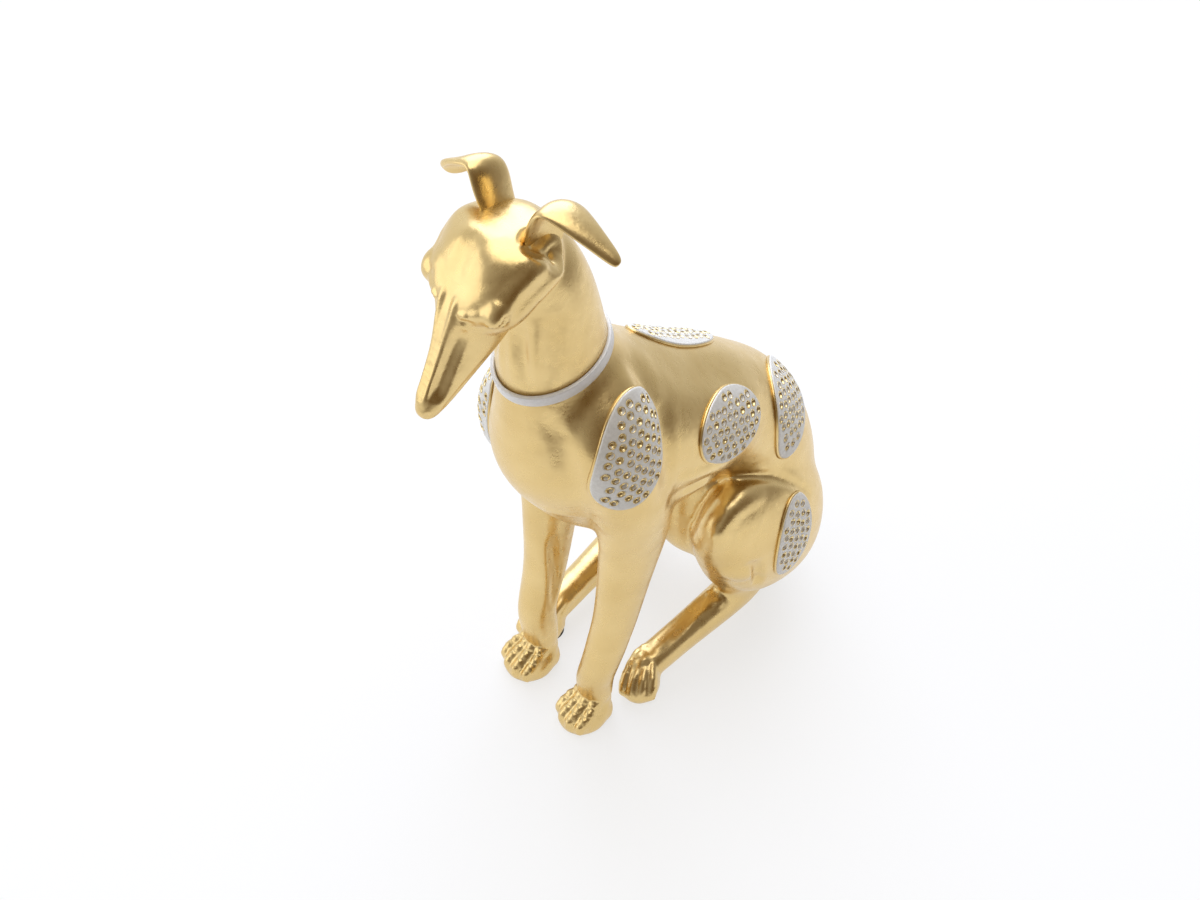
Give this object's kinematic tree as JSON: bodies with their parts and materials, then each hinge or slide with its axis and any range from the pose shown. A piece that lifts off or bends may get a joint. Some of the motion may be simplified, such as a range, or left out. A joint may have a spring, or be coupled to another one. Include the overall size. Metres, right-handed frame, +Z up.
{
  "type": "seated dog statue",
  "caption": "Seated sighthound statue in cast resin with a bowed head, folded ears, a band collar and raised studded patches on the back, shoulders, flanks and thighs",
  "frame": {"origin": "on the floor, under the middle of the box round the statue", "axes": "+Z is up, the dog faces -Y and its left side is +X"},
  "size_m": [0.1021, 0.2144, 0.3054],
  "materials": {
    "gold": "satin metallic gold paint on cast resin",
    "collar_silver": "satin silver paint on cast resin",
    "patch_silver": "satin silver-grey paint on cast resin",
    "stud_gold": "bright gold paint on cast resin",
    "felt": "dark felt",
    "plug": "matt"
  },
  "bodies": {
    "root": {"body_casting": "gold", "head_casting": "gold", "left_ear": "gold", "right_ear": "gold", "collar": "collar_silver", "left_shoulder_patch": "patch_silver", "right_shoulder_patch": "patch_silver", "left_flank_patch": "patch_silver", "right_flank_patch": "patch_silver", "withers_patch": "patch_silver", "rump_patch": "patch_silver", "left_thigh_patch": "patch_silver", "right_thigh_patch": "patch_silver", "left_shoulder_studs": "stud_gold", "right_shoulder_studs": "stud_gold", "left_flank_studs": "stud_gold", "right_flank_studs": "stud_gold", "withers_studs": "stud_gold", "rump_studs": "stud_gold", "left_thigh_studs": "stud_gold", "right_thigh_studs": "stud_gold", "left_front_pad": "felt", "right_front_pad": "felt", "left_hind_pad": "felt", "right_hind_pad": "felt", "seat_pad": "felt", "filler_plug": "plug"}
  },
  "joints": []
}
